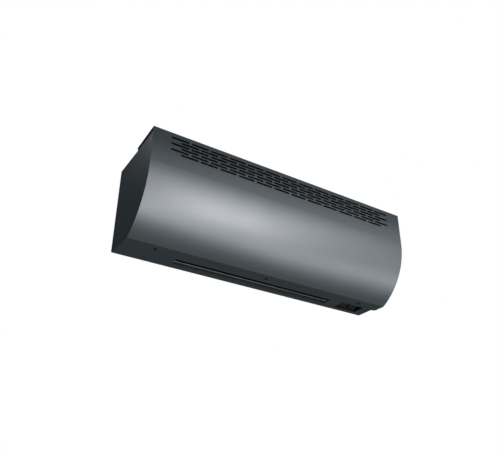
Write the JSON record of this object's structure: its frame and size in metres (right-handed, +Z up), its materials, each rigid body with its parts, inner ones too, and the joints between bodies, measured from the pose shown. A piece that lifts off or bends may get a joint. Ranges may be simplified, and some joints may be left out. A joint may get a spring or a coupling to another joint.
{
  "type": "air curtain",
  "caption": "Wall-mounted warm-air curtain: a curved metal front with an intake grille at the top, a long slot outlet underneath and two rocker switches, round a cross-flow fan.",
  "frame": {"origin": "middle of the flat rear face that lies on the wall, halfway along and halfway up the chassis", "axes": "+X along the casing to the right as seen from the front, +Y out of the back into the wall, +Z up"},
  "size_m": [0.6, 0.1545, 0.195],
  "materials": {
    "graphite_paint": "satin graphite powder coat with a metallic sheen",
    "black_sheet": "matt black coated sheet",
    "zinc_sheet": "zinc coated sheet, dull",
    "foam": "closed cell foam, black",
    "dark_screw": "black zinc plated screw",
    "steel": "bright plated steel",
    "fan_black": "black fan impeller",
    "hub_alloy": "turned alloy",
    "bush_bronze": "sintered bronze",
    "rubber_grey": "soft rubber",
    "lamination": "varnished laminated steel",
    "bobbin_plastic": "glass filled plastic",
    "winding": "enamelled copper winding under varnish",
    "die_cast": "die cast zinc alloy",
    "vent_plastic": "black plastic",
    "heater_steel": "heat darkened stainless steel",
    "brass": "plain brass",
    "switch_black": "black switch plastic, fine grain",
    "rocker_black": "black rocker, satin",
    "block_white": "white polyamide",
    "loom_sleeve": "black glass braid sleeve",
    "lead_red": "silicone insulated lead",
    "lead_white": "glass braid insulated lead"
  },
  "bodies": {
    "casing": {"front_cover": "graphite_paint", "back_panel": "graphite_paint", "bottom_panel": "graphite_paint", "left_side_panel": "graphite_paint", "right_side_panel": "graphite_paint", "cover_rail": "black_sheet", "top_seals": "foam", "cover_screws": "dark_screw", "cover_clip_nuts": "zinc_sheet", "left_duct_plate": "zinc_sheet", "right_duct_plate": "zinc_sheet", "scroll_plate": "black_sheet", "tongue_plate": "black_sheet", "outlet_guard_rods": "graphite_paint", "end_bush": "bush_bronze", "bush_damper": "rubber_grey", "bush_cup": "zinc_sheet", "bush_cup_screws": "steel", "motor_core": "lamination", "coil_bobbin": "bobbin_plastic", "motor_coil": "winding", "inner_motor_bridge": "die_cast", "outer_motor_bridge": "die_cast", "motor_bushes": "bush_bronze", "motor_screws": "steel", "motor_nuts": "steel", "motor_dampers": "rubber_grey", "lower_heater_tube": "heater_steel", "upper_heater_tube": "heater_steel", "heater_bushings": "brass", "heater_nuts": "brass", "heater_brackets": "zinc_sheet", "thermal_cutout": "bobbin_plastic", "cutout_screws": "steel", "switch_tray": "switch_black", "fan_switch_body": "switch_black", "heat_switch_body": "switch_black", "switch_terminals": "brass", "terminal_block": "block_white", "terminal_clamps": "brass", "terminal_block_screws": "steel", "cable_grommet": "rubber_grey", "loom_grommets": "rubber_grey", "wiring_loom": "loom_sleeve", "switch_leads": "lead_red", "heater_leads": "lead_white", "earth_stud": "steel", "earth_nut": "brass"},
    "fan": {"fan_impeller": "fan_black", "impeller_hub": "hub_alloy", "hub_grub_screw": "dark_screw", "stub_shaft": "steel", "motor_shaft": "steel", "motor_rotor": "lamination", "motor_cooling_fan": "vent_plastic"},
    "fan_rocker": {"fan_rocker": "rocker_black"},
    "heat_rocker": {"heat_rocker": "rocker_black"}
  },
  "joints": [
    {"name": "fan_spin", "type": "hinge", "parent": "casing", "child": "fan", "pos_m": [0, -0.08, 0.0155], "axis": [1, 0, 0], "continuous": true},
    {"name": "fan_switch_press", "type": "hinge", "parent": "casing", "child": "fan_rocker", "pos_m": [0.23275, -0.0285, -0.08], "axis": [1, 0, 0], "range_deg": [0, 22]},
    {"name": "heat_switch_press", "type": "hinge", "parent": "casing", "child": "heat_rocker", "pos_m": [0.26025, -0.0285, -0.08], "axis": [1, 0, 0], "range_deg": [0, 22]}
  ]
}
